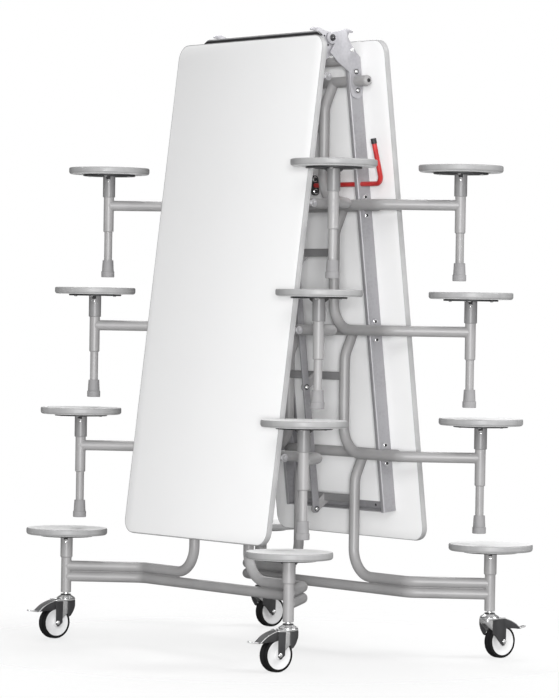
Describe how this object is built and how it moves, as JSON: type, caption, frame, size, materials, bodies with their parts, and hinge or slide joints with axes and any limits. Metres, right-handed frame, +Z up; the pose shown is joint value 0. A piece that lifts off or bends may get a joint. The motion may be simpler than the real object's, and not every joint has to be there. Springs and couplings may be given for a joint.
{
  "type": "folding table with stools",
  "caption": "Folding canteen table on casters, shown folded upright: white leaves hinged at the top, round stools on bent steel frames that stay level, and a red lock lever.",
  "frame": {"origin": "on the floor, midway between the leaves and midway between the sides", "axes": "+Z up; +X from leaf a to leaf b; the centre hinge runs along Y"},
  "size_m": [1.0468, 1.3934, 1.8864],
  "materials": {
    "painted_steel": "light grey powder coat",
    "plated_steel": "zinc plate",
    "white_laminate": "white laminate on board",
    "edging_plastic": "grey edge band",
    "grey_rubber": "matt",
    "bright_fork": "bright zinc",
    "black_tyre": "black tyre on a pale centre",
    "dark_plastic": "matt",
    "red_coating": "gloss dip coat",
    "black_steel": "black oxide"
  },
  "bodies": {
    "base_frame_a": {"base_frame_a": "painted_steel", "seat_a4_left": "white_laminate", "seat_a4_right": "white_laminate"},
    "base_frame_b": {"base_frame_b": "painted_steel", "seat_b4_left": "white_laminate", "seat_b4_right": "white_laminate"},
    "leaf_a": {"board_a": "white_laminate", "edging_a": "edging_plastic", "underframe_a": "plated_steel", "hinge_bolt_a": "black_steel"},
    "leaf_b": {"board_b": "white_laminate", "edging_b": "edging_plastic", "underframe_b": "plated_steel", "hinge_bolt_b": "black_steel"},
    "stools_a1": {"stool_frame_a1": "painted_steel", "seat_a1_left": "white_laminate", "seat_a1_right": "white_laminate", "foot_a1_left": "grey_rubber", "foot_a1_right": "grey_rubber"},
    "stools_a2": {"stool_frame_a2": "painted_steel", "seat_a2_left": "white_laminate", "seat_a2_right": "white_laminate", "foot_a2_left": "grey_rubber", "foot_a2_right": "grey_rubber"},
    "stools_a3": {"stool_frame_a3": "painted_steel", "seat_a3_left": "white_laminate", "seat_a3_right": "white_laminate", "foot_a3_left": "grey_rubber", "foot_a3_right": "grey_rubber"},
    "stools_b1": {"stool_frame_b1": "painted_steel", "seat_b1_left": "white_laminate", "seat_b1_right": "white_laminate", "foot_b1_left": "grey_rubber", "foot_b1_right": "grey_rubber"},
    "stools_b2": {"stool_frame_b2": "painted_steel", "seat_b2_left": "white_laminate", "seat_b2_right": "white_laminate", "foot_b2_left": "grey_rubber", "foot_b2_right": "grey_rubber"},
    "stools_b3": {"stool_frame_b3": "painted_steel", "seat_b3_left": "white_laminate", "seat_b3_right": "white_laminate", "foot_b3_left": "grey_rubber", "foot_b3_right": "grey_rubber"},
    "tie_bar_a": {"tie_bar_a": "plated_steel"},
    "tie_bar_b": {"tie_bar_b": "plated_steel"},
    "lock": {"lock_rod": "red_coating", "lock_latch": "black_steel"},
    "caster_fork_a_left": {"caster_fork_a_left": "bright_fork"},
    "caster_fork_a_right": {"caster_fork_a_right": "bright_fork"},
    "caster_fork_b_left": {"caster_fork_b_left": "bright_fork"},
    "caster_fork_b_right": {"caster_fork_b_right": "bright_fork"},
    "caster_wheel_a_left": {"caster_wheel_a_left": "black_tyre"},
    "caster_wheel_a_right": {"caster_wheel_a_right": "black_tyre"},
    "caster_wheel_b_left": {"caster_wheel_b_left": "black_tyre"},
    "caster_wheel_b_right": {"caster_wheel_b_right": "black_tyre"},
    "caster_brake_a_left": {"caster_brake_a_left": "dark_plastic"},
    "caster_brake_a_right": {"caster_brake_a_right": "dark_plastic"},
    "caster_brake_b_left": {"caster_brake_b_left": "dark_plastic"},
    "caster_brake_b_right": {"caster_brake_b_right": "dark_plastic"}
  },
  "joints": [
    {"name": "fold", "type": "hinge", "parent": "base_frame_a", "child": "leaf_a", "pos_m": [-0.23595, 0, 0.601], "axis": [0, 1, 0], "range_deg": [0, 82.9]},
    {"name": "centre_hinge", "type": "hinge", "parent": "leaf_a", "child": "leaf_b", "pos_m": [0, 0, 1.85616], "axis": [0, 1, 0], "range_deg": [-165.8, 0]},
    {"name": "stool_pivot_a1", "type": "hinge", "parent": "leaf_a", "child": "stools_a1", "pos_m": [-0.09523, 0, 1.73077], "axis": [0, 1, 0], "range_deg": [-82.9, 0]},
    {"name": "stool_pivot_a2", "type": "hinge", "parent": "leaf_a", "child": "stools_a2", "pos_m": [-0.14214, 0, 1.35418], "axis": [0, 1, 0], "range_deg": [-82.9, 0]},
    {"name": "stool_pivot_a3", "type": "hinge", "parent": "leaf_a", "child": "stools_a3", "pos_m": [-0.18904, 0, 0.97759], "axis": [0, 1, 0], "range_deg": [-82.9, 0]},
    {"name": "stool_pivot_b1", "type": "hinge", "parent": "leaf_b", "child": "stools_b1", "pos_m": [0.09523, 0, 1.73077], "axis": [0, 1, 0], "range_deg": [0, 82.9]},
    {"name": "stool_pivot_b2", "type": "hinge", "parent": "leaf_b", "child": "stools_b2", "pos_m": [0.14214, 0, 1.35418], "axis": [0, 1, 0], "range_deg": [0, 82.9]},
    {"name": "stool_pivot_b3", "type": "hinge", "parent": "leaf_b", "child": "stools_b3", "pos_m": [0.18904, 0, 0.97759], "axis": [0, 1, 0], "range_deg": [0, 82.9]},
    {"name": "base_pivot_b", "type": "hinge", "parent": "leaf_b", "child": "base_frame_b", "pos_m": [0.23595, 0, 0.601], "axis": [0, 1, 0], "range_deg": [0, 82.9]},
    {"name": "tie_bar_pivot_a", "type": "hinge", "parent": "base_frame_a", "child": "tie_bar_a", "pos_m": [-0.15595, 0, 0.423], "axis": [0, 1, 0], "range_deg": [0, 82.9]},
    {"name": "tie_bar_pivot_b", "type": "hinge", "parent": "base_frame_b", "child": "tie_bar_b", "pos_m": [0.15595, 0, 0.423], "axis": [0, 1, 0], "range_deg": [-82.9, 0]},
    {"name": "lock_turn", "type": "hinge", "parent": "leaf_b", "child": "lock", "pos_m": [0.12578, 0, 1.42077], "axis": [0, -1, 0], "range_deg": [0, 45]},
    {"name": "caster_swivel_a_left", "type": "hinge", "parent": "base_frame_a", "child": "caster_fork_a_left", "pos_m": [-0.38145, 0.5705, 0.142], "axis": [0, 0, 1], "continuous": true},
    {"name": "caster_swivel_a_right", "type": "hinge", "parent": "base_frame_a", "child": "caster_fork_a_right", "pos_m": [-0.38145, -0.5705, 0.142], "axis": [0, 0, 1], "continuous": true},
    {"name": "caster_swivel_b_left", "type": "hinge", "parent": "base_frame_b", "child": "caster_fork_b_left", "pos_m": [0.38145, -0.5705, 0.142], "axis": [0, 0, 1], "continuous": true},
    {"name": "caster_swivel_b_right", "type": "hinge", "parent": "base_frame_b", "child": "caster_fork_b_right", "pos_m": [0.38145, 0.5705, 0.142], "axis": [0, 0, 1], "continuous": true},
    {"name": "caster_roll_a_left", "type": "hinge", "parent": "caster_fork_a_left", "child": "caster_wheel_a_left", "pos_m": [-0.42345, 0.5705, 0.05], "axis": [0, 1, 0], "continuous": true},
    {"name": "caster_roll_a_right", "type": "hinge", "parent": "caster_fork_a_right", "child": "caster_wheel_a_right", "pos_m": [-0.42345, -0.5705, 0.05], "axis": [0, 1, 0], "continuous": true},
    {"name": "caster_roll_b_left", "type": "hinge", "parent": "caster_fork_b_left", "child": "caster_wheel_b_left", "pos_m": [0.42345, -0.5705, 0.05], "axis": [0, 1, 0], "continuous": true},
    {"name": "caster_roll_b_right", "type": "hinge", "parent": "caster_fork_b_right", "child": "caster_wheel_b_right", "pos_m": [0.42345, 0.5705, 0.05], "axis": [0, 1, 0], "continuous": true},
    {"name": "caster_brake_a_left", "type": "hinge", "parent": "caster_fork_a_left", "child": "caster_brake_a_left", "pos_m": [-0.42745, 0.5705, 0.1077], "axis": [0, -1, 0], "range_deg": [0, 8]},
    {"name": "caster_brake_a_right", "type": "hinge", "parent": "caster_fork_a_right", "child": "caster_brake_a_right", "pos_m": [-0.42745, -0.5705, 0.1077], "axis": [0, -1, 0], "range_deg": [0, 8]},
    {"name": "caster_brake_b_left", "type": "hinge", "parent": "caster_fork_b_left", "child": "caster_brake_b_left", "pos_m": [0.42745, -0.5705, 0.1077], "axis": [0, 1, 0], "range_deg": [0, 8]},
    {"name": "caster_brake_b_right", "type": "hinge", "parent": "caster_fork_b_right", "child": "caster_brake_b_right", "pos_m": [0.42745, 0.5705, 0.1077], "axis": [0, 1, 0], "range_deg": [0, 8]}
  ],
  "couplings": [
    {"joint": "centre_hinge", "follows": "fold", "ratio": -2},
    {"joint": "stool_pivot_a1", "follows": "fold", "ratio": -1},
    {"joint": "stool_pivot_a2", "follows": "fold", "ratio": -1},
    {"joint": "stool_pivot_a3", "follows": "fold", "ratio": -1},
    {"joint": "stool_pivot_b1", "follows": "fold", "ratio": 1},
    {"joint": "stool_pivot_b2", "follows": "fold", "ratio": 1},
    {"joint": "stool_pivot_b3", "follows": "fold", "ratio": 1},
    {"joint": "base_pivot_b", "follows": "fold", "ratio": 1},
    {"joint": "tie_bar_pivot_a", "follows": "fold", "ratio": 1},
    {"joint": "tie_bar_pivot_b", "follows": "fold", "ratio": -1}
  ]
}
